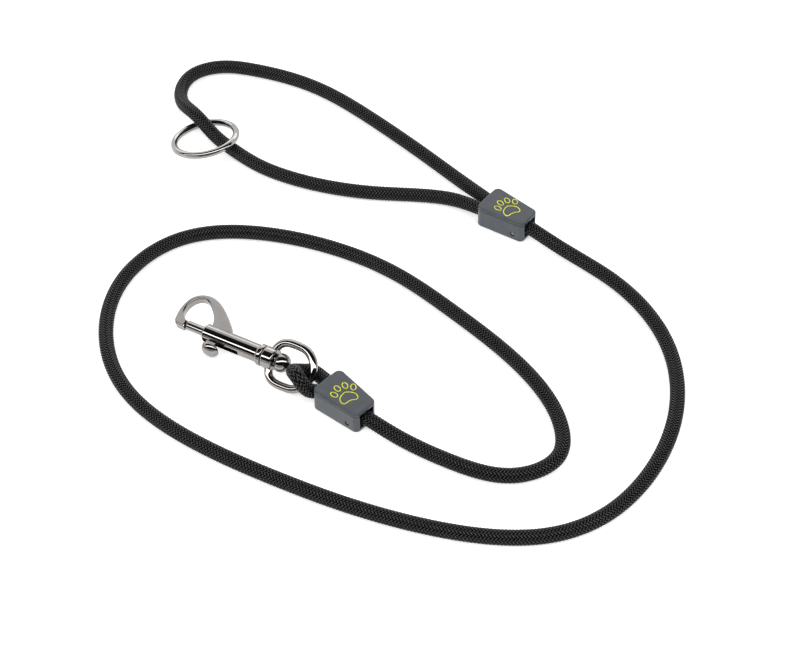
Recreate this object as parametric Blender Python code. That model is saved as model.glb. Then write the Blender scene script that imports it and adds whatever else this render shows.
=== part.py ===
"""Training leash: one braided rope, a clamp at each loop, a loose ring and a swivel bolt snap.

Metres, +Z up. The leash lies on the plane z = 0. The origin is the middle of the handle clamp's
underside. Sizes below are written in millimetres and multiplied by MM.
"""

import math

import bmesh
import bpy
import numpy as np
from mathutils import Matrix, Vector

MM = 0.001
GAP = 0.3 * MM

# Rope
ROPE_R = 4.0 * MM
ROPE_SQUEEZED = 3.1 * MM
FLOOR_REST = ROPE_R + 0.1 * MM
ROPE_RUN = 22 * MM
ROPE_TURN = 24.0
ROPE_CHANGE = 0.15 * MM

# Clamps: local X runs from the two-strand end to the single-strand end
CLAMP_LENGTH = 29.4 * MM
CLAMP_HEIGHT = 14 * MM
CLAMP_HALF_WIDE = 10.0 * MM
CLAMP_HALF_NARROW = 7.6 * MM
CLAMP_CORNER = 3.2 * MM
CLAMP_FLOOR = 2.6 * MM
COVER_SEAM = 12.0 * MM
COVER_PLUG = 11.4 * MM
ROPE_LEVEL = 7 * MM
STRAND_MOUTH = 3.9 * MM
STRAND_CRIMP = 3.4 * MM
CRIMP_START = -9.0 * MM
CRIMP_END = -5 * MM
CRIMP_WALL = 0.6 * MM
PIN_R = 1.0 * MM
PIN_PLACE = (8.5 * MM, 4.4 * MM)
HANDLE_CLAMP = (0.0, 0.0, -37.0)
SNAP_CLAMP = (-86.8 * MM, -135.5 * MM, -43.7)

# Loose ring on the handle loop
RING_R = 18.15 * MM
RING_WIRE = 2.0 * MM
RING_CENTRE = (-171.5 * MM, 64.8 * MM)
RING_TILT = 14.5
RING_LOW_SIDE = 130.0

# Bolt snap: local X runs from the swivel to the hook's tip, the hook is on -Y and the stud on +Y
SNAP_ORIGIN = (-122.9 * MM, -109.4 * MM, 9.7 * MM)
SNAP_HEADING = -30.9
SNAP_RISE = 4.0
SNAP_ROLL = 9.0
EYE_ROLL = 40.0
COLLAR_R = 5.9 * MM
COLLAR_START = GAP
COLLAR_END = 6.8 * MM
FLANGE_END = 9.6 * MM
BARREL_START = 7.1 * MM
BARREL_END = 44.0 * MM
BARREL_R = 4.85 * MM
BORE_R = 2.8 * MM
BORE_START = 12.5 * MM
SHANK_R = 2.0 * MM
SHANK_END = 12.2 * MM
PLATE_HALF = 2.4 * MM
PLATE_EDGE = 0.8 * MM
GATE_FACE = 56.2 * MM
SLOT_START = 21.0 * MM
SLOT_END = 43.0 * MM
SLOT_HALF = 1.8 * MM
PLUNGER_R = 2.5 * MM
PLUNGER_START = 31.5 * MM
STUD_PLACE = 37.4 * MM
STUD_HALF_LENGTH = 3.0 * MM
STUD_HALF_WIDTH = 1.45 * MM
STUD_NECK_TOP = 8.2 * MM
STUD_HEAD_BACK = 1.4 * MM
STUD_HEAD_RISE = 3.6 * MM
STUD_HEAD_R = 5.0 * MM
PEG_R = 1.1 * MM
SPRING_R = 2.05 * MM
SPRING_WIRE = 0.3 * MM
SPRING_TURNS = 7.5
EYE_WIRE = 2.25 * MM
EYE_HALF_WIDTH = 11.1 * MM
EYE_BOW_CENTRE = -10.7 * MM
EYE_SHOULDER = [(2.9, 4.0), (1.7, 7.4), (-1.2, 10.1), (-5.4, 11.1), (-10.7, 11.1)]
RIVET_HEAD_R = 5.1 * MM
RIVET_HEAD_HEIGHT = 8.2 * MM
RIVET_DOME_BASE = 3.4 * MM
RIVET_NECK_R = 3.7 * MM
RIVET_NECK = 1.2 * MM
RIVET_DIMPLE_R = 0.9 * MM
RIVET_DIMPLE = 0.5 * MM

ROUND = 32

# The rope's route, point by point, in millimetres: X, Y and the height of its middle.
# A height of None means that the rope rests on the floor.
HANDLE_LOOP = [
    (-29, 15.5, 4.9), (-73, 22, None), (-115, 32, None), (-140, 45, None), (-155, 58, None),
    (-166, 69, 5.0), (-177.5, 82, 9.4), (-188.2, 102, 4.6), (-185, 122.5, None), (-168, 132, None),
    (-149, 130, None), (-114, 116, None), (-78, 87, None), (-42, 50, None), (-21, 26, 5.2),
]
LEAD = [
    (30, -24, 4.6), (56, -48, None), (78, -87, None), (79, -142, None), (46, -199, None),
    (8, -217, None), (-58, -208, None), (-120, -182, None), (-194, -131, None),
    (-213, -88, None), (-207, -43, None), (-180, -15, None), (-138, -10, None),
    (-71, -35, None), (-32, -69, None), (4, -110, None), (21, -147, None),
    (18, -169, None), (-4, -180, None), (-33, -172, None), (-62, -155, 4.8),
]
SNAP_LOOP = [
    (-105.65, -129.2, 9.5), (-111.2, -126.7, 16.8), (-113.0, -117.6, 11.0),
    (-108.1, -115.1, 8.0), (-103.7, -113.6, 5.7), (-97.8, -119.0, 5.7),
]

# The hook plate's outline as (distance towards the tip, height over the barrel's axis)
HOOK_OUTER = [
    (28.2, 3.0), (31.2, 6.6), (35.0, 10.2), (40.0, 14.2), (45.2, 17.6), (50.4, 19.7),
    (55.3, 19.9), (59.8, 18.3), (63.0, 15.0), (64.5, 10.0), (64.4, 4.0), (63.4, -0.6),
]
HOOK_INNER = [
    (58.0, 1.8), (60.4, 4.2), (61.8, 7.4), (61.7, 11.0), (60.2, 14.4), (57.6, 16.5),
    (54.3, 16.7), (51.2, 15.2), (47.9, 12.4), (44.7, 9.0), (42.9, 5.6), (42.3, 2.6),
]


def clear_scene():
    """Start from an empty scene."""
    for old in list(bpy.data.objects):
        bpy.data.objects.remove(old, do_unlink=True)


def material(name, colour, metallic, roughness):
    """A Principled material with one colour."""
    mat = bpy.data.materials.new(name)
    mat.use_nodes = True
    shader = mat.node_tree.nodes["Principled BSDF"]
    shader.inputs["Base Color"].default_value = (*colour, 1.0)
    shader.inputs["Metallic"].default_value = metallic
    shader.inputs["Roughness"].default_value = roughness
    mat.diffuse_color = (*colour, 1.0)
    return mat


def add_object(name, data, mat, parent=None):
    """Link one named object, with its material, under its parent frame."""
    obj = bpy.data.objects.new(name, data)
    bpy.context.scene.collection.objects.link(obj)
    if mat is not None:
        data.materials.append(mat)
    if parent is not None:
        obj.parent = parent
    return obj


def add_mesh(name, bm, mat, parent=None):
    """Turn a bmesh into a smooth-shaded named object."""
    bmesh.ops.recalc_face_normals(bm, faces=bm.faces)
    mesh = bpy.data.meshes.new(name)
    bm.to_mesh(mesh)
    bm.free()
    mesh.shade_smooth()
    mesh.set_sharp_from_angle(angle=math.radians(35))
    return add_object(name, mesh, mat, parent)


def add_frame(name, matrix):
    """An empty that carries a group of parts."""
    frame = bpy.data.objects.new(name, None)
    bpy.context.scene.collection.objects.link(frame)
    frame.matrix_world = matrix
    return frame


def combine(target, tool, operation):
    """Boolean with a hidden tool object."""
    tool.hide_render = True
    tool.display_type = "WIRE"
    boolean = target.modifiers.new(tool.name, "BOOLEAN")
    boolean.operation = operation
    boolean.solver = "EXACT"
    boolean.object = tool


def extrude_outline(points, low, high):
    """A prism over a closed outline in X and Y, from one height to another."""
    bm = bmesh.new()
    corners = [bm.verts.new((x, y, low)) for x, y in points]
    face = bm.faces.new(corners)
    top = bmesh.ops.extrude_face_region(bm, geom=[face])
    moved = [v for v in top["geom"] if isinstance(v, bmesh.types.BMVert)]
    bmesh.ops.translate(bm, verts=moved, vec=(0, 0, high - low))
    return bm


def bevel_level_edges(bm, height, width, segments):
    """Round the outline edges that lie at one height."""
    edges = [
        e for e in bm.edges if all(abs(v.co.z - height) < 1e-6 for v in e.verts)
    ]
    bmesh.ops.bevel(
        bm, geom=edges, offset=width, segments=segments, profile=0.5, affect="EDGES"
    )


def turned(profile, steps=ROUND):
    """A solid turned about local X from (distance, radius) pairs, closed at both ends."""
    bm = bmesh.new()
    rings = []
    for x, r in profile:
        if r <= 0:
            rings.append([bm.verts.new((x, 0, 0))])
            continue
        angles = [2 * math.pi * i / steps for i in range(steps)]
        rings.append([bm.verts.new((x, r * math.cos(a), r * math.sin(a))) for a in angles])
    for first, second in zip(rings, rings[1:]):
        for i in range(steps):
            j = (i + 1) % steps
            if len(first) == 1:
                bm.faces.new((first[0], second[i], second[j]))
            elif len(second) == 1:
                bm.faces.new((first[i], first[j], second[0]))
            else:
                bm.faces.new((first[i], first[j], second[j], second[i]))
    for ring in (rings[0], rings[-1]):
        if len(ring) > 1:
            bm.faces.new(ring)
    return bm


def swept_tube(path, radius, sides):
    """A round tube along a list of points, with flat ends."""
    bm = bmesh.new()
    points = [Vector(p) for p in path]
    tangent = (points[1] - points[0]).normalized()
    normal = tangent.orthogonal().normalized()
    rings = []
    for i, point in enumerate(points):
        ahead = points[min(i + 1, len(points) - 1)] - points[max(i - 1, 0)]
        turn = tangent.rotation_difference(ahead.normalized())
        tangent = ahead.normalized()
        normal = (turn @ normal).normalized()
        binormal = tangent.cross(normal)
        ring = []
        for k in range(sides):
            a = 2 * math.pi * k / sides
            offset = normal * math.cos(a) + binormal * math.sin(a)
            ring.append(bm.verts.new(point + offset * radius))
        rings.append(ring)
    for first, second in zip(rings, rings[1:]):
        for k in range(sides):
            j = (k + 1) % sides
            bm.faces.new((first[k], first[j], second[j], second[k]))
    bm.faces.new(rings[0])
    bm.faces.new(rings[-1])
    return bm


def smooth_curve(points, steps):
    """Sample a smooth cubic curve through the points, each leg in the same number of steps."""
    p = np.array(points, dtype=float)
    legs = np.linalg.norm(np.diff(p, axis=0), axis=1) ** 0.75
    count = len(p)
    system = np.eye(count)
    right = np.zeros((count, p.shape[1]))
    for i in range(1, count - 1):
        system[i, i - 1:i + 2] = legs[i - 1], 2 * (legs[i - 1] + legs[i]), legs[i]
        right[i] = 6 * ((p[i + 1] - p[i]) / legs[i] - (p[i] - p[i - 1]) / legs[i - 1])
    bend = np.linalg.solve(system, right)
    samples = []
    for i, leg in enumerate(legs):
        for step in range(steps):
            b = step / steps
            a = 1 - b
            cubic = (a**3 - a) * bend[i] + (b**3 - b) * bend[i + 1]
            samples.append(a * p[i] + b * p[i + 1] + cubic * leg * leg / 6)
    samples.append(p[-1])
    return np.array(samples)


def thin_out(samples, radii):
    """Keep a point wherever the rope has run on, turned or changed its radius far enough."""
    kept = [0]
    run = turned_by = 0.0
    for i in range(1, len(samples) - 1):
        before = samples[i] - samples[i - 1]
        after = samples[i + 1] - samples[i]
        run += np.linalg.norm(before)
        along = before @ after / (np.linalg.norm(before) * np.linalg.norm(after))
        turned_by += math.degrees(math.acos(min(1.0, along)))
        change = abs(radii[i] - radii[kept[-1]])
        if run > ROPE_RUN or turned_by > ROPE_TURN or change > ROPE_CHANGE:
            kept.append(i)
            run = turned_by = 0.0
    return kept + [len(samples) - 1]


def clamp_matrix(clamp):
    """World placement of a clamp from its X, Y and heading."""
    x, y, heading = clamp
    return Matrix.Translation((x, y, 0)) @ Matrix.Rotation(math.radians(heading), 4, "Z")


def snap_matrix(roll):
    """World placement of the snap's parts: X to the hook's tip, turned by roll about X."""
    heading = math.radians(SNAP_HEADING)
    rise = math.radians(SNAP_RISE)
    to_clamp = Vector(
        (math.cos(heading) * math.cos(rise), math.sin(heading) * math.cos(rise), math.sin(rise))
    )
    side = Vector((0, 0, 1)).cross(to_clamp).normalized()
    up = to_clamp.cross(side)
    lean = math.radians(roll)
    hook = side * math.cos(lean) + up * math.sin(lean)
    face = up * math.cos(lean) - side * math.sin(lean)
    axes = Matrix((-to_clamp, -hook, face)).transposed().to_4x4()
    return Matrix.Translation(SNAP_ORIGIN) @ axes


def ring_matrix():
    """World placement of the loose ring, whose low side touches the floor."""
    tilt = math.radians(RING_TILT)
    height = RING_R * math.sin(tilt) + RING_WIRE + 0.03 * MM
    turn = Matrix.Rotation(math.radians(RING_LOW_SIDE), 4, "Z")
    lean = Matrix.Rotation(tilt, 4, "Y")
    return Matrix.Translation((*RING_CENTRE, height)) @ turn @ lean


def rope_route():
    """Every point of the route with the rope's radius there, from hidden end to hidden end."""
    handle = clamp_matrix(HANDLE_CLAMP)
    snap = clamp_matrix(SNAP_CLAMP)

    def inside(frame, stations):
        route = []
        for x, y, radius in stations:
            route.append((frame @ Vector((x * MM, y * MM, ROPE_LEVEL)), radius * MM))
        return route

    def outside(points):
        route = []
        for x, y, z in points:
            height = FLOOR_REST if z is None else z * MM
            route.append((Vector((x * MM, y * MM, height)), ROPE_R))
        return route

    mouth = STRAND_MOUTH / MM
    crimp = STRAND_CRIMP / MM
    thin = ROPE_SQUEEZED / MM
    end = [(-2, -crimp, thin), (-6, -crimp, thin), (-11.4, -crimp, thin), (-14.5, -mouth, 3.8)]
    through = [(-14.5, mouth, 3.8), (-11.4, crimp, thin), (-5, crimp, thin), (1, 3.0, 3.2)]
    through.append((7, 1.1, 3.7))
    single = [(13.5, 0, 3.95)]
    route = inside(handle, end)
    route += outside(HANDLE_LOOP)
    route += inside(handle, through + single)
    route += outside(LEAD)
    back = [(x, -y, radius) for x, y, radius in reversed(through)]
    route += inside(snap, single + back)
    route += outside(SNAP_LOOP)
    route += inside(snap, [(x, -y, radius) for x, y, radius in reversed(end)])
    return route


def build_rope(mat):
    """The rope's plain tube."""
    route = rope_route()
    steps = 16
    samples = smooth_curve([tuple(place) for place, radius in route], steps)
    stations = np.arange(len(samples)) / steps
    radii = np.interp(stations, range(len(route)), [radius for place, radius in route])
    kept = thin_out(samples, radii)
    curve = bpy.data.curves.new("rope", "CURVE")
    curve.dimensions = "3D"
    curve.bevel_depth = 1.0
    curve.bevel_resolution = 3
    curve.use_fill_caps = True
    spline = curve.splines.new("POLY")
    spline.points.add(len(kept) - 1)
    for point, i in zip(spline.points, kept):
        point.co = (*samples[i], 1.0)
        point.radius = radii[i]
    spline.use_smooth = True
    add_object("rope", curve, mat)


def clamp_outline(inset, height_steps=5):
    """The clamp's plan outline, pulled in by inset, with round corners."""
    half = CLAMP_LENGTH / 2 - inset
    radius = CLAMP_CORNER - inset
    corners = [
        (-half, -CLAMP_HALF_WIDE + inset, 180),
        (half, -CLAMP_HALF_NARROW + inset, 270),
        (half, CLAMP_HALF_NARROW - inset, 0),
        (-half, CLAMP_HALF_WIDE - inset, 90),
    ]
    outline = []
    for x, y, start in corners:
        cx = x - math.copysign(radius, x)
        cy = y - math.copysign(radius, y)
        for step in range(height_steps + 1):
            a = math.radians(start + 90 * step / height_steps)
            outline.append((cx + radius * math.cos(a), cy + radius * math.sin(a)))
    return outline


def channel_outline(inset, overrun):
    """Plan outline of the clamp's rope channel, wide at two strands and narrow at one."""
    end = CLAMP_LENGTH / 2 + overrun
    half = [(-end, 9.3), (-2 * MM, 7.6), (10 * MM, 4.8), (end, 4.8)]
    half = [(x, y * MM - inset) for x, y in half]
    return [(x, -y) for x, y in half] + [(x, y) for x, y in reversed(half)]


def stadium(half_run, radius, steps=8):
    """A closed outline of two half circles joined by straight sides, in Y and Z."""
    outline = []
    for side, start in ((1, -90), (-1, 90)):
        for step in range(steps + 1):
            a = math.radians(start + 180 * step / steps)
            outline.append((side * half_run + radius * math.cos(a), radius * math.sin(a)))
    return outline


def build_clamp(prefix, clamp, plastic, steel):
    """Lower shell, cover, crimp band and two pins of one clamp."""
    frame = add_frame(prefix + "_clamp_frame", clamp_matrix(clamp))

    shell_bm = extrude_outline(clamp_outline(0), 0, COVER_SEAM)
    bevel_level_edges(shell_bm, 0, 1.5 * MM, 3)
    shell = add_mesh(prefix + "_clamp_shell", shell_bm, plastic, frame)
    channel = extrude_outline(channel_outline(0, 1 * MM), CLAMP_FLOOR, CLAMP_HEIGHT)
    combine(shell, add_mesh(prefix + "_channel_tool", channel, None, frame), "DIFFERENCE")

    cover_bm = extrude_outline(clamp_outline(0), COVER_SEAM + GAP, CLAMP_HEIGHT)
    bevel_level_edges(cover_bm, CLAMP_HEIGHT, 0.8 * MM, 3)
    cover = add_mesh(prefix + "_clamp_cover", cover_bm, plastic, frame)
    plug = extrude_outline(channel_outline(1.3 * GAP, -1 * MM), COVER_PLUG, COVER_SEAM + 3 * GAP)
    combine(cover, add_mesh(prefix + "_plug_tool", plug, None, frame), "UNION")

    crimp_bm = bmesh.new()
    loops = []
    inner = ROPE_SQUEEZED + GAP
    for x in (CRIMP_START, CRIMP_END):
        for radius in (inner, inner + CRIMP_WALL):
            ring = []
            for y, z in stadium(STRAND_CRIMP, radius):
                ring.append(crimp_bm.verts.new((x, y, ROPE_LEVEL + z)))
            loops.append(ring)
    order = (loops[0], loops[1], loops[3], loops[2], loops[0])
    for first, second in zip(order, order[1:]):
        for k in range(len(first)):
            j = (k + 1) % len(first)
            crimp_bm.faces.new((first[k], first[j], second[j], second[k]))
    add_mesh(prefix + "_clamp_crimp", crimp_bm, steel, frame)

    x, z = PIN_PLACE
    for side, label in ((-1, "near"), (1, "far")):
        place = Matrix.Translation((x, 0, z)) @ Matrix.Rotation(math.radians(90 * side), 4, "Z")
        hole_bm = turned([(4 * MM, PIN_R + GAP), (9 * MM, PIN_R + GAP)], 20)
        hole_bm.transform(place)
        hole = add_mesh(prefix + "_pin_hole_tool_" + label, hole_bm, None, frame)
        combine(shell, hole, "DIFFERENCE")
        edge = 0.25 * MM
        start, end = 4.3 * MM, 7.4 * MM
        pin_bm = turned(
            [(start, PIN_R - edge), (start + edge, PIN_R), (end - edge, PIN_R), (end, PIN_R - edge)],
            20,
        )
        pin = add_mesh(prefix + "_clamp_pin_" + label, pin_bm, steel, frame)
        pin.matrix_local = place


def build_ring(steel):
    """The loose round ring."""
    bm = bmesh.new()
    around, across = 64, 14
    grid = []
    for i in range(around):
        a = 2 * math.pi * i / around
        ring = []
        for k in range(across):
            b = 2 * math.pi * k / across
            r = RING_R + RING_WIRE * math.cos(b)
            ring.append(bm.verts.new((r * math.cos(a), r * math.sin(a), RING_WIRE * math.sin(b))))
        grid.append(ring)
    for i in range(around):
        first, second = grid[i], grid[(i + 1) % around]
        for k in range(across):
            j = (k + 1) % across
            bm.faces.new((first[k], second[k], second[j], first[j]))
    frame = add_frame("ring_frame", ring_matrix())
    add_mesh("o_ring", bm, steel, frame)


def hook_outline():
    """The hook plate's outline in local X and Y, closed inside the barrel."""
    outer = smooth_curve(HOOK_OUTER, 3)
    inner = smooth_curve(HOOK_INNER, 3)
    gate = GATE_FACE / MM
    points = [(28.2, 0.0)] + [tuple(p) for p in outer]
    points += [(62.0, -2.4), (60.6, -2.9), (gate, -2.9), (gate, 1.3)]
    points += [tuple(p) for p in inner] + [(42.3, 0.0)]
    return [(x * MM, -y * MM) for x, y in points]


def build_snap_body(steel, frame):
    """Hook and barrel in one casting, bored from the mouth, with the stud's slot."""
    plate_bm = extrude_outline(hook_outline(), -PLATE_HALF, PLATE_HALF)
    for height in (-PLATE_HALF, PLATE_HALF):
        bevel_level_edges(plate_bm, height, PLATE_EDGE, 2)
    body = add_mesh("snap_body", plate_bm, steel, frame)
    edge = 0.6 * MM
    barrel = turned(
        [
            (BARREL_START, COLLAR_R - edge), (BARREL_START + edge, COLLAR_R),
            (FLANGE_END - edge, COLLAR_R), (FLANGE_END + edge, BARREL_R + 0.1 * MM),
            (BARREL_END - 1.0 * MM, BARREL_R), (BARREL_END - 0.3 * MM, BARREL_R - 0.5 * MM),
            (BARREL_END, BARREL_R - 1.2 * MM),
        ]
    )
    combine(body, add_mesh("barrel_tool", barrel, None, frame), "UNION")
    bore = turned([(BORE_START, BORE_R), (BARREL_END + 5 * MM, BORE_R)], 28)
    combine(body, add_mesh("bore_tool", bore, None, frame), "DIFFERENCE")
    rear = turned([(BARREL_START - MM, SHANK_R + GAP), (BORE_START + MM, SHANK_R + GAP)], 24)
    combine(body, add_mesh("rear_bore_tool", rear, None, frame), "DIFFERENCE")
    slot = extrude_outline(
        [(SLOT_START, 0), (SLOT_END, 0), (SLOT_END, 8 * MM), (SLOT_START, 8 * MM)],
        -SLOT_HALF, SLOT_HALF,
    )
    combine(body, add_mesh("slot_tool", slot, None, frame), "DIFFERENCE")


def build_plunger(steel, frame):
    """The sliding bolt, with the cross hole that takes the stud's peg."""
    edge = 0.4 * MM
    end = GATE_FACE - GAP
    bm = turned(
        [
            (PLUNGER_START, PLUNGER_R - edge), (PLUNGER_START + edge, PLUNGER_R),
            (end - 0.8 * MM, PLUNGER_R), (end - 0.2 * MM, PLUNGER_R - 0.6 * MM),
            (end, PLUNGER_R - 1.2 * MM),
        ],
        28,
    )
    plunger = add_mesh("plunger", bm, steel, frame)
    hole = turned([(-4 * MM, PEG_R + GAP), (4 * MM, PEG_R + GAP)], 20)
    hole.transform(stud_placement())
    combine(plunger, add_mesh("peg_hole_tool", hole, None, frame), "DIFFERENCE")


def stud_placement():
    """Stands a solid turned about X on the stud's axis, which runs along +Y."""
    return Matrix.Translation((STUD_PLACE, 0, 0)) @ Matrix.Rotation(math.radians(90), 4, "Z")


def build_stud(steel, frame):
    """The thumb stud: peg, neck through the slot, and domed head."""
    x, half = STUD_PLACE, STUD_HALF_LENGTH
    low, high = PLUNGER_R + GAP, STUD_NECK_TOP
    neck = extrude_outline(
        [(x - half, low), (x + half, low), (x + half, high), (x - half, high)],
        -STUD_HALF_WIDTH, STUD_HALF_WIDTH,
    )
    stud = add_mesh("thumb_stud", neck, steel, frame)
    under, rim = STUD_NECK_TOP - 1.1 * MM, STUD_NECK_TOP - 0.5 * MM
    dome = [(under, STUD_HEAD_R - 0.8 * MM), (rim, STUD_HEAD_R - 0.1 * MM)]
    for step in range(6):
        a = math.radians(90 * step / 6)
        dome.append((STUD_NECK_TOP + STUD_HEAD_RISE * math.sin(a), STUD_HEAD_R * math.cos(a)))
    dome.append((STUD_NECK_TOP + STUD_HEAD_RISE, 0))
    head = turned(dome, 28)
    head.transform(Matrix.Translation((-STUD_HEAD_BACK, 0, 0)) @ stud_placement())
    combine(stud, add_mesh("stud_head_tool", head, None, frame), "UNION")
    peg = turned([(-1.9 * MM, PEG_R), (PLUNGER_R + 1.0 * MM, PEG_R)], 20)
    peg.transform(stud_placement())
    combine(stud, add_mesh("stud_peg_tool", peg, None, frame), "UNION")


def build_spring(steel, frame):
    """The compression spring between the barrel's floor and the plunger."""
    start = BORE_START + GAP + SPRING_WIRE
    end = PLUNGER_START - GAP - SPRING_WIRE
    per_turn = 14
    count = round(SPRING_TURNS * per_turn)
    path = []
    for i in range(count + 1):
        a = 2 * math.pi * i / per_turn
        x = start + (end - start) * i / count
        path.append((x, SPRING_R * math.cos(a), SPRING_R * math.sin(a)))
    add_mesh("plunger_spring", swept_tube(path, SPRING_WIRE, 6), steel, frame)


def build_rivet(steel, frame):
    """The swivel's rivet: dimpled domed head inside the eye and shank into the barrel."""
    profile = [(-RIVET_HEAD_HEIGHT + RIVET_DIMPLE, 0), (-RIVET_HEAD_HEIGHT, RIVET_DIMPLE_R)]
    dome = RIVET_HEAD_HEIGHT - RIVET_DOME_BASE
    first = math.asin(RIVET_DIMPLE_R / RIVET_HEAD_R)
    for step in range(1, 8):
        a = first + (math.pi / 2 - first) * step / 7
        profile.append((-RIVET_DOME_BASE - dome * math.cos(a), RIVET_HEAD_R * math.sin(a)))
    profile += [(-2 * RIVET_NECK, RIVET_HEAD_R), (-RIVET_NECK, RIVET_NECK_R), (0.0, RIVET_NECK_R)]
    profile += [(0.0, SHANK_R), (SHANK_END - 0.4 * MM, SHANK_R), (SHANK_END, SHANK_R - 0.4 * MM)]
    add_mesh("swivel_rivet", turned(profile, 28), steel, frame)


def build_eye(steel, frame):
    """The swivel eye: a collar on the rivet and a D of round wire."""
    edge = 0.6 * MM
    collar = turned(
        [
            (COLLAR_START, COLLAR_R - edge), (COLLAR_START + edge, COLLAR_R),
            (COLLAR_END - edge, COLLAR_R), (COLLAR_END, COLLAR_R - edge),
        ]
    )
    eye = add_mesh("swivel_eye", collar, steel, frame)
    w, bow = EYE_HALF_WIDTH, EYE_BOW_CENTRE
    half = [(x * MM, y * MM) for x, y in smooth_curve(EYE_SHOULDER, 3)[:-1]]
    path = list(half)
    for step in range(17):
        a = math.radians(180 * step / 16)
        path.append((bow - w * math.sin(a), w * math.cos(a)))
    path += [(x, -y) for x, y in reversed(half)]
    wire = swept_tube([(x, y, 0) for x, y in path], EYE_WIRE, 16)
    combine(eye, add_mesh("eye_wire_tool", wire, None, frame), "UNION")
    bore = turned([(-2 * MM, SHANK_R + GAP), (BARREL_START + MM, SHANK_R + GAP)], 24)
    combine(eye, add_mesh("eye_bore_tool", bore, None, frame), "DIFFERENCE")


def main():
    """Build every part of the leash."""
    clear_scene()
    rope = material("rope", (0.030, 0.030, 0.032), 0.0, 0.85)
    plastic = material("clamp_plastic", (0.105, 0.115, 0.125), 0.0, 0.35)
    crimp = material("clamp_metal", (0.45, 0.45, 0.46), 1.0, 0.35)
    ring = material("ring_metal", (0.60, 0.59, 0.58), 1.0, 0.12)
    snap = material("snap_metal", (0.42, 0.41, 0.41), 1.0, 0.14)
    spring = material("spring_metal", (0.50, 0.50, 0.50), 1.0, 0.30)

    build_rope(rope)
    build_clamp("handle", HANDLE_CLAMP, plastic, crimp)
    build_clamp("snap", SNAP_CLAMP, plastic, crimp)
    build_ring(ring)
    snap_frame = add_frame("snap_frame", snap_matrix(SNAP_ROLL))
    eye_frame = add_frame("eye_frame", snap_matrix(EYE_ROLL))
    build_snap_body(snap, snap_frame)
    build_plunger(snap, snap_frame)
    build_stud(snap, snap_frame)
    build_spring(spring, snap_frame)
    build_rivet(snap, snap_frame)
    build_eye(snap, eye_frame)


main()
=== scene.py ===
"""Looks of the training leash: braided rope, moulded clamps and black nickel fittings.

Metres, +Z up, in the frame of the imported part. Sizes are written in millimetres and
multiplied by MM. The leash lies on the plane z = 0.
"""

import math

import bmesh
import bpy
import numpy as np
from mathutils import Matrix, Vector


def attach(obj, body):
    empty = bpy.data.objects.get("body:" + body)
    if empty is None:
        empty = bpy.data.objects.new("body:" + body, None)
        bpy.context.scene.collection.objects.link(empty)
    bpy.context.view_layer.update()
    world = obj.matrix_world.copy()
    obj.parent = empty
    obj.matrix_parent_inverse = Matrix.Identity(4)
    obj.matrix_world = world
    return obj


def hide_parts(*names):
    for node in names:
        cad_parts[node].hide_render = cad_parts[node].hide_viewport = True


MM = 0.001
GAP = 0.3 * MM
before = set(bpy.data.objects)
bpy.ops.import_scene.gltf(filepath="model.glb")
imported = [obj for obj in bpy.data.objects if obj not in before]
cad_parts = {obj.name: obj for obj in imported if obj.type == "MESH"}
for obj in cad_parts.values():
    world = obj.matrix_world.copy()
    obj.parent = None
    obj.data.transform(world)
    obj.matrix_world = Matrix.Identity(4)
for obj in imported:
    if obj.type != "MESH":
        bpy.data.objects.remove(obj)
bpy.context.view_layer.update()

# Camera: the photograph's view, 47 degrees above the horizontal
CAMERA_TARGET = Vector((-59.5 * MM, -78.4 * MM, 4 * MM))
CAMERA_DISTANCE = 1.025
CAMERA_ELEVATION = 47.0
CAMERA_LENS = 87.75
CAMERA_SENSOR = 36.0

# The floor is a softly glowing table, just under the leash
FLOOR_GLOW = 0.62
FLOOR_HALF = 6.0
FLOOR_DROP = 0.02 * MM

# One soft light behind the leash, placed from the camera's target
REAR_LIGHT_PLACE = Vector((0, 1.5, 0.8))
REAR_LIGHT_SIZE = (2.6, 0.5)
REAR_LIGHT_POWER = 6

# Studio panels: (degrees from the rear horizon over the zenith, brightness)
PANELS = [
    (0, 1.2), (57, 1.2), (61, 0.03), (108, 0.01), (109, 6.0), (121, 6.0),
    (122, 0.01), (162, 0.01), (170, 0.5), (180, 0.8),
]

# Rope
ROPE_R = 4.0 * MM
ROPE_SQUEEZED = 3.1 * MM
FLOOR_REST = ROPE_R + 0.1 * MM
STRANDS = 16
PICK = 1.8 * MM
STRAND_WAVE = 0.22 * MM
STRAND_ROUND = 0.46 * MM
POINTS_A_STRAND = 4
ROUTE_STEPS = 24
# Small shifts that keep the braid's points off the borders between strands
OFF_BORDER_AROUND = 1e-6
OFF_BORDER_ALONG = 2e-6
# Stations inside a clamp, in millimetres along it
HIDDEN_END = -2
CRIMP_STATION = -11.4
MOUTH_STATION = -14.5
MOUTH_R = 3.8

# Clamps: local X runs from the two-strand end to the single-strand end
CLAMP_LENGTH = 29.4 * MM
CLAMP_HEIGHT = 14 * MM
CLAMP_HALF_WIDE = 10.0 * MM
CLAMP_HALF_NARROW = 7.6 * MM
CLAMP_CORNER = 3.2 * MM
CLAMP_FLOOR = 2.6 * MM
COVER_SEAM = 12.0 * MM
COVER_PLUG = 11.4 * MM
ROPE_LEVEL = 7 * MM
STRAND_MOUTH = 3.9 * MM
STRAND_CRIMP = 3.4 * MM
SHELL_FOOT_ROUND = 1.5 * MM
SHELL_SEAM_ROUND = 0.25 * MM
COVER_TOP_ROUND = 0.85 * MM
COVER_SEAM_ROUND = 0.2 * MM
SHELL_EDGE_ROUND = 0.12 * MM
CHANNEL_WIDE = 9.3
CHANNEL_MIDDLE = 7.6
CHANNEL_NARROW = 4.8
CHANNEL_TAPER = (-2 * MM, 10 * MM)
PIN_R = 1.0 * MM
PIN_PLACE = (8.5 * MM, 4.4 * MM)
PIN_HOLE = (4 * MM, 9.4 * MM)
PIN_ENDS = (4.3 * MM, 7.4 * MM)
PIN_FACE = 0.45
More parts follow.
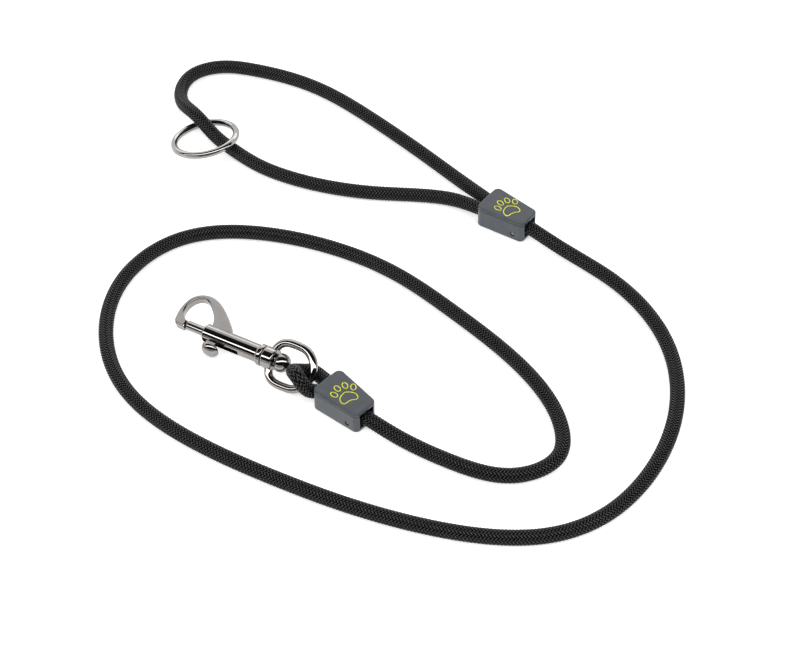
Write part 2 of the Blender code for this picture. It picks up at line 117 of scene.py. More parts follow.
PIN_CROWN = 0.3 * MM
PIN_ROUND = 0.25 * MM
PAW_UNIT = 1.6 * MM
PAW_TURN = 28
PAW_LINE = 0.26 * MM
PAW_LINE_FLATNESS = 0.5
TOE_HALF = (0.85, 1.3)
TOE_STEPS = 12
HANDLE_CLAMP = (0.0, 0.0, -37.0)
SNAP_CLAMP = (-86.8 * MM, -135.5 * MM, -43.7)

# Loose ring on the handle loop
RING_R = 18.15 * MM
RING_WIRE = 2.0 * MM
RING_CENTRE = (-171.5 * MM, 64.8 * MM)
RING_TILT = 14.5
RING_LOW_SIDE = 130.0
RING_LIFT = 0.03 * MM
WELD_BEAD = 0.05 * MM
WELD_SPREAD = 1.6

# Bolt snap: local X runs from the swivel to the hook's tip, the hook is on -Y and the stud on +Y
SNAP_ORIGIN = (-122.9 * MM, -109.4 * MM, 9.7 * MM)
SNAP_HEADING = -30.9
SNAP_RISE = 4.0
SNAP_ROLL = 9.0
EYE_ROLL = 40.0
COLLAR_R = 5.9 * MM
COLLAR_START = GAP
COLLAR_END = 6.8 * MM
FLANGE_END = 9.6 * MM
BARREL_START = 7.1 * MM
BARREL_END = 44.0 * MM
BARREL_R = 4.85 * MM
BARREL_ROUND = 0.8 * MM
FLANGE_STEP = 0.4 * MM
BORE_R = 2.8 * MM
BORE_START = 12.5 * MM
SHANK_R = 2.0 * MM
SHANK_END = 12.2 * MM
PLATE_HALF = 2.4 * MM
PLATE_EDGE = 0.9 * MM
GATE_FACE = 56.2 * MM
SLOT_START = 21.0 * MM
SLOT_END = 43.0 * MM
SLOT_HALF = 1.8 * MM
SLOT_TOP = 8 * MM
BORE_OVERRUN = 5 * MM
PLUNGER_R = 2.5 * MM
PLUNGER_START = 31.5 * MM
STUD_PLACE = 37.4 * MM
STUD_HALF_LENGTH = 3.0 * MM
STUD_HALF_WIDTH = 1.45 * MM
STUD_NECK_TOP = 8.2 * MM
STUD_HEAD_BACK = 1.4 * MM
STUD_HEAD_RISE = 3.6 * MM
STUD_HEAD_R = 5.0 * MM
STUD_HEAD_UNDER = 1.1 * MM
STUD_HEAD_RIM = 0.5 * MM
STUD_UNDER_INSET = 0.8 * MM
STUD_RIM_INSET = 0.1 * MM
STUD_NECK_ROUND = 0.35 * MM
PEG_R = 1.1 * MM
PEG_START = -1.9 * MM
PEG_INTO_NECK = 1.0 * MM
PEG_HOLE = 4 * MM
SPRING_R = 2.05 * MM
SPRING_WIRE = 0.3 * MM
SPRING_TURNS = 7.5
EYE_WIRE = 2.25 * MM
EYE_HALF_WIDTH = 11.1 * MM
EYE_BOW_CENTRE = -10.7 * MM
EYE_SHOULDER = [(2.9, 4.0), (1.7, 7.4), (-1.2, 10.1), (-5.4, 11.1), (-10.7, 11.1)]
RIVET_HEAD_R = 5.1 * MM
RIVET_HEAD_HEIGHT = 8.2 * MM
RIVET_DOME_BASE = 3.4 * MM
RIVET_NECK_R = 3.7 * MM
RIVET_NECK = 1.2 * MM
RIVET_DIMPLE_R = 0.9 * MM
RIVET_DIMPLE = 0.5 * MM

# The rope's route in millimetres. A height of None means that the rope rests on the floor.
HANDLE_LOOP = [
    (-29, 15.5, 4.9), (-73, 22, None), (-115, 32, None), (-140, 45, None), (-155, 58, None),
    (-166, 69, 5.0), (-177.5, 82, 9.4), (-188.2, 102, 4.6), (-185, 122.5, None), (-168, 132, None),
    (-149, 130, None), (-114, 116, None), (-78, 87, None), (-42, 50, None), (-21, 26, 5.2),
]
LEAD = [
    (30, -24, 4.6), (56, -48, None), (78, -87, None), (79, -142, None), (46, -199, None),
    (8, -217, None), (-58, -208, None), (-120, -182, None), (-194, -131, None),
    (-213, -88, None), (-207, -43, None), (-180, -15, None), (-138, -10, None),
    (-71, -35, None), (-32, -69, None), (4, -110, None), (21, -147, None),
    (18, -169, None), (-4, -180, None), (-33, -172, None), (-62, -155, 4.8),
]
SNAP_LOOP = [
    (-105.65, -129.2, 9.5), (-111.2, -126.7, 16.8), (-113.0, -117.6, 11.0),
    (-108.1, -115.1, 8.0), (-103.7, -113.6, 5.7), (-97.8, -119.0, 5.7),
]

# The hook plate's outline as (distance towards the tip, height over the barrel's axis)
HOOK_OUTER = [
    (28.2, 3.0), (31.2, 6.6), (35.0, 10.2), (40.0, 14.2), (45.2, 17.6), (50.4, 19.7),
    (55.3, 19.9), (59.8, 18.3), (63.0, 15.0), (64.5, 10.0), (64.4, 4.0), (63.4, -0.6),
]
HOOK_INNER = [
    (58.0, 1.8), (60.4, 4.2), (61.8, 7.4), (61.7, 11.0), (60.2, 14.4), (57.6, 16.5),
    (54.3, 16.7), (51.2, 15.2), (47.9, 12.4), (44.7, 9.0), (42.9, 5.6), (42.3, 2.6),
]
# The hook's nose, and the gate's face below and above the bolt
HOOK_NOSE = [(62.0, -2.4), (60.6, -2.9)]
GATE_LOW = -2.9
GATE_HIGH = 1.3

# Socket numbers of a Mix node's two colours and of its result colour
MIX_FIRST = 6
MIX_SECOND = 7
MIX_RESULT = 2


# ---------------------------------------------------------------- shapes


def smooth_curve(points, steps):
    """Sample a smooth cubic curve through the points, each leg in the same number of steps."""
    p = np.array(points, dtype=float)
    legs = np.linalg.norm(np.diff(p, axis=0), axis=1) ** 0.75
    count = len(p)
    system = np.eye(count)
    right = np.zeros((count, p.shape[1]))
    for i in range(1, count - 1):
        system[i, i - 1:i + 2] = legs[i - 1], 2 * (legs[i - 1] + legs[i]), legs[i]
        right[i] = 6 * ((p[i + 1] - p[i]) / legs[i] - (p[i] - p[i - 1]) / legs[i - 1])
    bend = np.linalg.solve(system, right)
    samples = []
    for i, leg in enumerate(legs):
        for step in range(steps):
            b = step / steps
            a = 1 - b
            cubic = (a**3 - a) * bend[i] + (b**3 - b) * bend[i + 1]
            samples.append(a * p[i] + b * p[i + 1] + cubic * leg * leg / 6)
    samples.append(p[-1])
    return np.array(samples)


def clamp_matrix(clamp):
    """World placement of a clamp from its X, Y and heading."""
    x, y, heading = clamp
    return Matrix.Translation((x, y, 0)) @ Matrix.Rotation(math.radians(heading), 4, "Z")


def snap_matrix(roll):
    """World placement of the snap's parts: X to the hook's tip, turned by roll about X."""
    heading = math.radians(SNAP_HEADING)
    rise = math.radians(SNAP_RISE)
    to_clamp = Vector(
        (math.cos(heading) * math.cos(rise), math.sin(heading) * math.cos(rise), math.sin(rise))
    )
    side = Vector((0, 0, 1)).cross(to_clamp).normalized()
    up = to_clamp.cross(side)
    lean = math.radians(roll)
    hook = side * math.cos(lean) + up * math.sin(lean)
    face = up * math.cos(lean) - side * math.sin(lean)
    axes = Matrix((-to_clamp, -hook, face)).transposed().to_4x4()
    return Matrix.Translation(SNAP_ORIGIN) @ axes


def ring_matrix():
    """World placement of the loose ring, whose low side touches the floor."""
    tilt = math.radians(RING_TILT)
    height = RING_R * math.sin(tilt) + RING_WIRE + RING_LIFT
    turn = Matrix.Rotation(math.radians(RING_LOW_SIDE), 4, "Z")
    lean = Matrix.Rotation(tilt, 4, "Y")
    return Matrix.Translation((*RING_CENTRE, height)) @ turn @ lean


def new_object(name, bm, matrix=None):
    """A named object from a bmesh, moved into world place."""
    bmesh.ops.recalc_face_normals(bm, faces=bm.faces)
    mesh = bpy.data.meshes.new(name)
    bm.to_mesh(mesh)
    bm.free()
    if matrix is not None:
        mesh.transform(matrix)
    mesh.shade_smooth()
    obj = bpy.data.objects.new(name, mesh)
    bpy.context.scene.collection.objects.link(obj)
    return obj


def combine(target, tool, operation):
    """Boolean with another object, which is used up."""
    boolean = target.modifiers.new(tool.name, "BOOLEAN")
    boolean.operation = operation
    boolean.solver = "EXACT"
    boolean.object = tool
    settle(target)
    bpy.data.objects.remove(tool)


def settle(obj):
    """Bake an object's modifiers into its mesh."""
    bpy.context.view_layer.update()
    graph = bpy.context.evaluated_depsgraph_get()
    mesh = bpy.data.meshes.new_from_object(obj.evaluated_get(graph), depsgraph=graph)
    obj.modifiers.clear()
    obj.data = mesh


def finish_shading(obj, angle=38.0):
    """Smooth shading with crisp creases, and flat faces that stay flat."""
    obj.data.shade_smooth()
    obj.data.set_sharp_from_angle(angle=math.radians(angle))
    weighted = obj.modifiers.new("weighted", "WEIGHTED_NORMAL")
    weighted.keep_sharp = True
    weighted.mode = "FACE_AREA_WITH_ANGLE"
    settle(obj)


def soften_edges(obj, width, segments=3, angle=38.0):
    """Round every crease of an object by a small radius."""
    bevel = obj.modifiers.new("edges", "BEVEL")
    bevel.width = width
    bevel.segments = segments
    bevel.limit_method = "ANGLE"
    bevel.angle_limit = math.radians(angle)
    bevel.use_clamp_overlap = True
    bevel.harden_normals = False
    settle(obj)


def extrude_outline(points, low, high):
    """A prism over a closed outline in X and Y, from one height to another."""
    bm = bmesh.new()
    face = bm.faces.new([bm.verts.new((x, y, low)) for x, y in points])
    top = bmesh.ops.extrude_face_region(bm, geom=[face])
    moved = [v for v in top["geom"] if isinstance(v, bmesh.types.BMVert)]
    bmesh.ops.translate(bm, verts=moved, vec=(0, 0, high - low))
    return bm


def bevel_level_edges(bm, height, width, segments):
    """Round the outline edges that lie at one height."""
    edges = [e for e in bm.edges if all(abs(v.co.z - height) < 1e-6 for v in e.verts)]
    bmesh.ops.bevel(
        bm, geom=edges, offset=width, segments=segments, profile=0.5, affect="EDGES"
    )


def turned(profile, steps=64):
    """A solid turned about local X from (distance, radius) pairs, closed at both ends."""
    bm = bmesh.new()
    rings = []
    for x, r in profile:
        if r <= 0:
            rings.append([bm.verts.new((x, 0, 0))])
            continue
        angles = [2 * math.pi * i / steps for i in range(steps)]
        rings.append([bm.verts.new((x, r * math.cos(a), r * math.sin(a))) for a in angles])
    for first, second in zip(rings, rings[1:]):
        for i in range(steps):
            j = (i + 1) % steps
            if len(first) == 1:
                bm.faces.new((first[0], second[i], second[j]))
            elif len(second) == 1:
                bm.faces.new((first[i], first[j], second[0]))
            else:
                bm.faces.new((first[i], first[j], second[j], second[i]))
    for ring in (rings[0], rings[-1]):
        if len(ring) > 1:
            bm.faces.new(ring)
    return bm


def rounded(profile, radius, steps=5):
    """Round the inner corners of a turned profile."""
    out = [profile[0]]
    for before, corner, after in zip(profile, profile[1:], profile[2:]):
        c = Vector(corner)
        back = Vector(before) - c
        ahead = Vector(after) - c
        reach = min(radius, back.length * 0.49, ahead.length * 0.49)
        start = c + back.normalized() * reach
        end = c + ahead.normalized() * reach
        for step in range(steps + 1):
            t = step / steps
            point = start * (1 - t) ** 2 + c * 2 * t * (1 - t) + end * t * t
            out.append(tuple(point))
    return out + [profile[-1]]


def swept_tube(path, radii, sides, closed=False):
    """A round tube along a list of points; radii is one radius or one for each point."""
    bm = bmesh.new()
    points = [Vector(p) for p in path]
    if not isinstance(radii, list):
        radii = [radii] * len(points)
    last = len(points) - 1
    tangent = (points[1] - points[0]).normalized()
    normal = tangent.orthogonal().normalized()
    rings = []
    for i, point in enumerate(points):
        ahead = points[min(i + 1, last)] - points[max(i - 1, 0)]
        if closed and i in (0, last):
            ahead = points[1] - points[last - 1]
        turn = tangent.rotation_difference(ahead.normalized())
        tangent = ahead.normalized()
        normal = (turn @ normal).normalized()
        binormal = tangent.cross(normal)
        if closed and i == last:
            break
        ring = []
        for k in range(sides):
            a = 2 * math.pi * k / sides
            offset = normal * math.cos(a) + binormal * math.sin(a)
            ring.append(bm.verts.new(point + offset * radii[i]))
        rings.append(ring)
    pairs = list(zip(rings, rings[1:]))
    if closed:
        pairs.append((rings[-1], rings[0]))
    for first, second in pairs:
        for k in range(sides):
            j = (k + 1) % sides
            bm.faces.new((first[k], first[j], second[j], second[k]))
    if not closed:
        bm.faces.new(rings[0])
        bm.faces.new(rings[-1])
    return bm


# ---------------------------------------------------------------- rope


def rope_route():
    """Every point of the route with the rope's radius there, from hidden end to hidden end."""
    handle = clamp_matrix(HANDLE_CLAMP)
    snap = clamp_matrix(SNAP_CLAMP)

    def inside(matrix, stations):
        route = []
        for x, y, radius in stations:
            route.append((matrix @ Vector((x * MM, y * MM, ROPE_LEVEL)), radius * MM))
        return route

    def outside(points):
        route = []
        for x, y, z in points:
            height = FLOOR_REST if z is None else z * MM
            route.append((Vector((x * MM, y * MM, height)), ROPE_R))
        return route

    mouth = STRAND_MOUTH / MM
    crimp = STRAND_CRIMP / MM
    thin = ROPE_SQUEEZED / MM
    end = [(HIDDEN_END, -crimp, thin), (-6, -crimp, thin), (CRIMP_STATION, -crimp, thin)]
    end.append((MOUTH_STATION, -mouth, MOUTH_R))
    through = [(MOUTH_STATION, mouth, MOUTH_R), (CRIMP_STATION, crimp, thin)]
    through += [(-5, crimp, thin), (1, 3.0, 3.2), (7, 1.1, 3.7)]
    single = [(13.5, 0, 3.95)]
    route = inside(handle, end)
    route += outside(HANDLE_LOOP)
    route += inside(handle, through + single)
    route += outside(LEAD)
    back = [(x, -y, radius) for x, y, radius in reversed(through)]
    route += inside(snap, single + back)
    route += outside(SNAP_LOOP)
    route += inside(snap, [(x, -y, radius) for x, y, radius in reversed(end)])
    return route


def even_steps(samples, radii, step):
    """Resample a line at an even spacing."""
    runs = np.linalg.norm(np.diff(samples, axis=0), axis=1)
    reach = np.concatenate([[0], np.cumsum(runs)])
    count = int(reach[-1] / step)
    stations = np.linspace(0, reach[-1], count + 1)
    places = np.column_stack([np.interp(stations, reach, samples[:, k]) for k in range(3)])
    return places, np.interp(stations, reach, radii), stations


def carried_frames(places):
    """Tangents and a pair of side vectors that don't twist along the line."""
    tangents = np.gradient(places, axis=0)
    tangents /= np.linalg.norm(tangents, axis=1)[:, None]
    sides = np.zeros_like(places)
    side = np.cross(tangents[0], (0, 0, 1))
    for i, tangent in enumerate(tangents):
        side = side - tangent * (side @ tangent)
        side /= np.linalg.norm(side)
        sides[i] = side
    return sides, np.cross(tangents, sides)


def braid_height(around, along):
    """Height of the braid over its core. Two families of strands cross two over, two under."""
    u = around - along
    v = around + along
    i = np.floor(u)
    j = np.floor(v)
    wave_right = np.sin(np.pi / 2 * (v + i))
    wave_left = -np.sin(np.pi / 2 * (u + j))
    round_right = np.sqrt(np.clip(1 - (2 * (u - i) - 1) ** 2, 0, 1))
    round_left = np.sqrt(np.clip(1 - (2 * (v - j) - 1) ** 2, 0, 1))
    right = STRAND_WAVE * wave_right + STRAND_ROUND * round_right
    left = STRAND_WAVE * wave_left + STRAND_ROUND * round_left
    return np.maximum(right, left)


def build_rope():
    """The braided rope as one closed mesh whose edges follow its strands."""
    route = rope_route()
    samples = smooth_curve([tuple(place) for place, radius in route], ROUTE_STEPS)
    marks = np.arange(len(samples)) / ROUTE_STEPS
    radii = np.interp(marks, range(len(route)), [radius for place, radius in route])
    places, radii, stations = even_steps(samples, radii, PICK / POINTS_A_STRAND)
    sides, ups = carried_frames(places)
    columns = POINTS_A_STRAND * STRANDS
    rows = len(places)
    grid_row, grid_column = np.meshgrid(range(rows), range(columns), indexing="ij")
    used = (grid_row + grid_column) % 2 == 0
    row = grid_row[used]
    column = grid_column[used]
    number = np.full((rows, columns), -1)
    number[used] = np.arange(len(row))
    around = column / POINTS_A_STRAND
    along = row / POINTS_A_STRAND
    height = braid_height(around + OFF_BORDER_AROUND, along + OFF_BORDER_ALONG)
    top = STRAND_WAVE + STRAND_ROUND
    reach = (radii[row] - top) + height * radii[row] / ROPE_R
    angle = 2 * math.pi * around / STRANDS
    across = sides[row] * np.cos(angle)[:, None] + ups[row] * np.sin(angle)[:, None]
    points = places[row] + across * reach[:, None]
    faces = []
    for r in range(rows):
        for c in range((r + 1) % 2, columns, 2):
            left = number[r, (c - 1) % columns]
            right = number[r, (c + 1) % columns]
            if r == 0:
                faces.append((left, right, number[1, c]))
            elif r == rows - 1:
                faces.append((left, number[r - 1, c], right))
            else:
                faces.append((left, number[r - 1, c], right, number[r + 1, c]))
    faces.append([int(n) for n in number[0] if n >= 0][::-1])
    faces.append([int(n) for n in number[rows - 1] if n >= 0])
    mesh = bpy.data.meshes.new("rope_braid")
    mesh.from_pydata(points.tolist(), [], [[int(n) for n in face] for face in faces])
    mesh.shade_smooth()
    rise = height / top
    for name, values in (("braid_around", around), ("braid_along", along), ("braid_rise", rise)):
        attribute = mesh.attributes.new(name, "FLOAT", "POINT")
        attribute.data.foreach_set("value", values.astype(np.float32))
    rope = bpy.data.objects.new("rope_braid", mesh)
    bpy.context.scene.collection.objects.link(rope)
    rope.data.materials.append(rope_material())
    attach(rope, "leash")
    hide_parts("rope")


# ---------------------------------------------------------------- clamps


def clamp_outline(inset, corner_steps=12):
    """The clamp's plan outline, pulled in by inset, with round corners."""
    half = CLAMP_LENGTH / 2 - inset
    radius = CLAMP_CORNER - inset
    corners = [
        (-half, -CLAMP_HALF_WIDE + inset, 180),
        (half, -CLAMP_HALF_NARROW + inset, 270),
        (half, CLAMP_HALF_NARROW - inset, 0),
        (-half, CLAMP_HALF_WIDE - inset, 90),
    ]
    outline = []
    for x, y, start in corners:
        cx = x - math.copysign(radius, x)
        cy = y - math.copysign(radius, y)
        for step in range(corner_steps + 1):
            a = math.radians(start + 90 * step / corner_steps)
            outline.append((cx + radius * math.cos(a), cy + radius * math.sin(a)))
    return outline


def channel_outline(inset, overrun):
    """Plan outline of the clamp's rope channel, wide at two strands and narrow at one."""
    end = CLAMP_LENGTH / 2 + overrun
    first, second = CHANNEL_TAPER
    half = [(-end, CHANNEL_WIDE), (first, CHANNEL_MIDDLE), (second, CHANNEL_NARROW)]
    half.append((end, CHANNEL_NARROW))
    half = [(x, y * MM - inset) for x, y in half]
    return [(x, -y) for x, y in half] + [(x, y) for x, y in reversed(half)]


def build_clamp(prefix, clamp, plastic, steel):
    """Lower shell and cover of one clamp, with its two cross pins."""
    place = clamp_matrix(clamp)
    shell_bm = extrude_outline(clamp_outline(0), 0, COVER_SEAM)
    bevel_level_edges(shell_bm, 0, SHELL_FOOT_ROUND, 8)
    bevel_level_edges(shell_bm, COVER_SEAM, SHELL_SEAM_ROUND, 3)
    shell = new_object(prefix + "_shell_moulding", shell_bm)
    channel_bm = extrude_outline(channel_outline(0, MM), CLAMP_FLOOR, CLAMP_HEIGHT)
    combine(shell, new_object("channel", channel_bm), "DIFFERENCE")
    x, z = PIN_PLACE
    for side in (-1, 1):
        turn = Matrix.Translation((x, 0, z)) @ Matrix.Rotation(math.radians(90 * side), 4, "Z")
        hole = turned([(reach, PIN_R + GAP) for reach in PIN_HOLE], 40)
        combine(shell, new_object("hole", hole, turn), "DIFFERENCE")
    soften_edges(shell, SHELL_EDGE_ROUND, 2, 50)
    finish_piece(shell, place, plastic, "leash", prefix + "_clamp_shell")

    cover_bm = extrude_outline(clamp_outline(0), COVER_SEAM + GAP, CLAMP_HEIGHT)
    bevel_level_edges(cover_bm, CLAMP_HEIGHT, COVER_TOP_ROUND, 7)
    bevel_level_edges(cover_bm, COVER_SEAM + GAP, COVER_SEAM_ROUND, 3)
    cover = new_object(prefix + "_cover_moulding", cover_bm)
    plug_bm = extrude_outline(channel_outline(1.3 * GAP, -MM), COVER_PLUG, COVER_SEAM + 3 * GAP)
    combine(cover, new_object("plug", plug_bm), "UNION")
    finish_piece(cover, place, plastic, "leash", prefix + "_clamp_cover")

    for side, label in ((-1, "near"), (1, "far")):
        turn = Matrix.Translation((x, 0, z)) @ Matrix.Rotation(math.radians(90 * side), 4, "Z")
        start, end = PIN_ENDS
        profile = [(start, 0), (start, PIN_R), (end, PIN_R), (end, PIN_FACE * PIN_R)]
        profile.append((end - PIN_CROWN, 0))
        pin = new_object(prefix + "_pin_" + label, turned(rounded(profile, PIN_ROUND), 40), turn)
        finish_piece(pin, place, steel, "leash", prefix + "_clamp_pin_" + label)


def paw_outlines():
    """Closed outlines of a plain paw print: one pad and four toes, in units of PAW_UNIT."""
    pad = [
        (0, 0.6), (1.7, -0.2), (2.9, -2.1), (2.3, -3.6), (0.8, -3.3), (-0.8, -3.3),
        (-2.3, -3.6), (-2.9, -2.1), (-1.7, -0.2), (0, 0.6),
    ]
    outlines = [smooth_curve(pad, 6)[:-1]]
    for x, y, lean in ((-3.4, 1.3, 24), (-1.35, 3.1, 8), (1.35, 3.1, -8), (3.4, 1.3, -24)):
        toe = []
        turn = math.radians(lean)
        for step in range(TOE_STEPS):
            a = 2 * math.pi * step / TOE_STEPS
            px, py = TOE_HALF[0] * math.cos(a), TOE_HALF[1] * math.sin(a)
            toe.append(
                (x + px * math.cos(turn) - py * math.sin(turn),
                 y + px * math.sin(turn) + py * math.cos(turn))
            )
        outlines.append(toe)
    return outlines


def build_emblem(prefix, clamp, ink):
    """A plain paw print in raised line work on the clamp's cover."""
    place = clamp_matrix(clamp)
    turn = math.radians(-clamp[2] + PAW_TURN)
    bm = bmesh.new()
    for outline in paw_outlines():
        path = []
        for x, y in outline:
            path.append(
                (PAW_UNIT * (x * math.cos(turn) - y * math.sin(turn)),
                 PAW_UNIT * (x * math.sin(turn) + y * math.cos(turn)), CLAMP_HEIGHT)
            )
        path.append(path[0])
        line = swept_tube(path, PAW_LINE, 10, closed=True)
        bmesh.ops.scale(line, verts=line.verts, vec=(1, 1, PAW_LINE_FLATNESS),
                        space=Matrix.Translation((0, 0, -CLAMP_HEIGHT)))
        mesh = bpy.data.meshes.new("line")
        line.to_mesh(mesh)
        line.free()
        bm.from_mesh(mesh)
        bpy.data.meshes.remove(mesh)
    emblem = new_object(prefix + "_paw_print", bm, place)
    emblem.data.materials.append(ink)
    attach(emblem, "leash")


# ---------------------------------------------------------------- metal fittings


def build_ring(steel):
    """The loose round ring, with the faint bead of its butt weld."""
    path = []
    radii = []
    count = 160
    for i in range(count + 1):
        a = 2 * math.pi * i / count
        path.append((RING_R * math.cos(a), RING_R * math.sin(a), 0))
        weld = math.exp(-((math.degrees(abs(a - math.pi)) / WELD_SPREAD) ** 2))
        radii.append(RING_WIRE + WELD_BEAD * weld)
    ring = new_object("loose_ring", swept_tube(path, radii, 32, closed=True))
    finish_piece(ring, ring_matrix(), steel, "ring", "o_ring")


def hook_outline():
    """The hook plate's outline in local X and Y, closed inside the barrel."""
    outer = smooth_curve(HOOK_OUTER, 6)
    inner = smooth_curve(HOOK_INNER, 6)
    gate = GATE_FACE / MM
    points = [(HOOK_OUTER[0][0], 0.0)] + [tuple(p) for p in outer]
    points += HOOK_NOSE + [(gate, GATE_LOW), (gate, GATE_HIGH)]
    points += [tuple(p) for p in inner] + [(HOOK_INNER[-1][0], 0.0)]
    return [(x * MM, -y * MM) for x, y in points]


def build_snap_body(steel, place):
    """Hook and barrel in one casting, bored from the mouth, with the stud's slot."""
    plate_bm = extrude_outline(hook_outline(), -PLATE_HALF, PLATE_HALF)
    for height in (-PLATE_HALF, PLATE_HALF):
        bevel_level_edges(plate_bm, height, PLATE_EDGE, 5)
    body = new_object("hook_casting", plate_bm)
    profile = [
        (BARREL_START, 0), (BARREL_START, COLLAR_R), (FLANGE_END, COLLAR_R),
        (FLANGE_END + FLANGE_STEP, BARREL_R), (BARREL_END, BARREL_R), (BARREL_END, 0),
    ]
    barrel = turned(rounded(profile, BARREL_ROUND, 6), 96)
    combine(body, new_object("barrel", barrel), "UNION")
    bore = turned([(BORE_START, BORE_R), (BARREL_END + BORE_OVERRUN, BORE_R)], 64)
    combine(body, new_object("bore", bore), "DIFFERENCE")
    rear = turned([(BARREL_START - MM, SHANK_R + GAP), (BORE_START + MM, SHANK_R + GAP)], 48)
    combine(body, new_object("rear", rear), "DIFFERENCE")
    slot = extrude_outline(
        [(SLOT_START, 0), (SLOT_END, 0), (SLOT_END, SLOT_TOP), (SLOT_START, SLOT_TOP)],
        -SLOT_HALF, SLOT_HALF,
    )
    combine(body, new_object("slot", slot), "DIFFERENCE")
    finish_piece(body, place, steel, "snap", "snap_body")


def build_plunger(steel, place):
    """The sliding bolt."""
    end = GATE_FACE - GAP
    profile = [(PLUNGER_START, 0), (PLUNGER_START, PLUNGER_R), (end, PLUNGER_R), (end, 0)]
    plunger = new_object("bolt_rod", turned(rounded(profile, 0.9 * MM, 6), 64))
    hole = turned([(-PEG_HOLE, PEG_R + GAP), (PEG_HOLE, PEG_R + GAP)], 40)
    combine(plunger, new_object("hole", hole, stud_placement()), "DIFFERENCE")
    finish_piece(plunger, place, steel, "bolt", "plunger")


def stud_placement():
    """Stands a solid turned about X on the stud's axis, which runs along +Y."""
    return Matrix.Translation((STUD_PLACE, 0, 0)) @ Matrix.Rotation(math.radians(90), 4, "Z")


def build_stud(steel, place):
    """The thumb stud: peg, neck through the slot, and domed head."""
    x, half = STUD_PLACE, STUD_HALF_LENGTH
    low, high = PLUNGER_R + GAP, STUD_NECK_TOP
    neck = extrude_outline(
        [(x - half, low), (x + half, low), (x + half, high), (x - half, high)],
        -STUD_HALF_WIDTH, STUD_HALF_WIDTH,
    )
    stud = new_object("stud_casting", neck)
    soften_edges(stud, STUD_NECK_ROUND, 4)
    under, rim = STUD_NECK_TOP - STUD_HEAD_UNDER, STUD_NECK_TOP - STUD_HEAD_RIM
    dome = [(under, 0), (under, STUD_HEAD_R - STUD_UNDER_INSET)]
    dome.append((rim, STUD_HEAD_R - STUD_RIM_INSET))
    for step in range(12):
        a = math.radians(90 * step / 12)
        dome.append((STUD_NECK_TOP + STUD_HEAD_RISE * math.sin(a), STUD_HEAD_R * math.cos(a)))
    dome.append((STUD_NECK_TOP + STUD_HEAD_RISE, 0))
    head_place = Matrix.Translation((-STUD_HEAD_BACK, 0, 0)) @ stud_placement()
    combine(stud, new_object("head", turned(rounded(dome, 0.3 * MM, 3), 64), head_place), "UNION")
    peg = turned([(PEG_START, PEG_R), (PLUNGER_R + PEG_INTO_NECK, PEG_R)], 40)
    combine(stud, new_object("peg", peg, stud_placement()), "UNION")
    finish_piece(stud, place, steel, "bolt", "thumb_stud")


def build_spring(steel, place):
    """The compression spring between the barrel's floor and the plunger."""
    start = BORE_START + GAP + SPRING_WIRE
    end = PLUNGER_START - GAP - SPRING_WIRE
    per_turn = 32
    count = round(SPRING_TURNS * per_turn)
    path = []
    for i in range(count + 1):
        a = 2 * math.pi * i / per_turn
        x = start + (end - start) * i / count
        path.append((x, SPRING_R * math.cos(a), SPRING_R * math.sin(a)))
    spring = new_object("return_spring", swept_tube(path, SPRING_WIRE, 12))
    finish_piece(spring, place, steel, "snap", "plunger_spring")


def build_rivet(steel, place):
    """The swivel's rivet: dimpled domed head inside the eye and shank into the barrel."""
    profile = [(-RIVET_HEAD_HEIGHT + RIVET_DIMPLE, 0), (-RIVET_HEAD_HEIGHT, RIVET_DIMPLE_R)]
    dome = RIVET_HEAD_HEIGHT - RIVET_DOME_BASE
    first = math.asin(RIVET_DIMPLE_R / RIVET_HEAD_R)
    for step in range(1, 15):
        a = first + (math.pi / 2 - first) * step / 14
        profile.append((-RIVET_DOME_BASE - dome * math.cos(a), RIVET_HEAD_R * math.sin(a)))
    profile += [(-2 * RIVET_NECK, RIVET_HEAD_R), (-RIVET_NECK, RIVET_NECK_R), (0.0, RIVET_NECK_R)]
    profile += [(0.0, SHANK_R), (SHANK_END, SHANK_R), (SHANK_END, 0)]
    rivet = new_object("rivet_head_and_shank", turned(rounded(profile, 0.3 * MM, 3), 64))
    finish_piece(rivet, place, steel, "snap", "swivel_rivet")


def build_eye(steel, place):
    """The swivel eye: a collar on the rivet and a D of round wire."""
    profile = [(COLLAR_START, 0), (COLLAR_START, COLLAR_R), (COLLAR_END, COLLAR_R), (COLLAR_END, 0)]
    eye = new_object("eye_casting", turned(rounded(profile, 0.9 * MM, 6), 96))
    w, bow = EYE_HALF_WIDTH, EYE_BOW_CENTRE
    half = [(x * MM, y * MM) for x, y in smooth_curve(EYE_SHOULDER, 8)[:-1]]
    path = list(half)
    for step in range(49):
        a = math.radians(180 * step / 48)
        path.append((bow - w * math.sin(a), w * math.cos(a)))
    path += [(x, -y) for x, y in reversed(half)]
    wire = swept_tube([(x, y, 0) for x, y in path], EYE_WIRE, 40)
    combine(eye, new_object("wire", wire), "UNION")
    bore = turned([(-2 * MM, SHANK_R + GAP), (BARREL_START + MM, SHANK_R + GAP)], 48)
    combine(eye, new_object("bore", bore), "DIFFERENCE")
    finish_piece(eye, place, steel, "eye", "swivel_eye")


def finish_piece(obj, place, material, body, node):
    """Shade, place and dress a piece, and let it stand for its CAD node."""
    finish_shading(obj)
    obj.data.transform(place)
    obj.data.materials.clear()
    obj.data.materials.append(material)
    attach(obj, body)
    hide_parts(node)


# ---------------------------------------------------------------- materials


def empty_material(name):
    """A material with its Principled shader, and a short way to add nodes and links."""
    mat = bpy.data.materials.new(name)
    mat.use_nodes = True
    tree = mat.node_tree
    shader = tree.nodes["Principled BSDF"]

    def add(kind, inputs=None, **settings):
        node = tree.nodes.new(kind)
        for key, value in settings.items():
            setattr(node, key, value)
        for key, value in (inputs or {}).items():
            if isinstance(value, bpy.types.NodeSocket):
                tree.links.new(value, node.inputs[key])
            else:
                node.inputs[key].default_value = value
        return node

    return mat, shader, add, tree.links.new


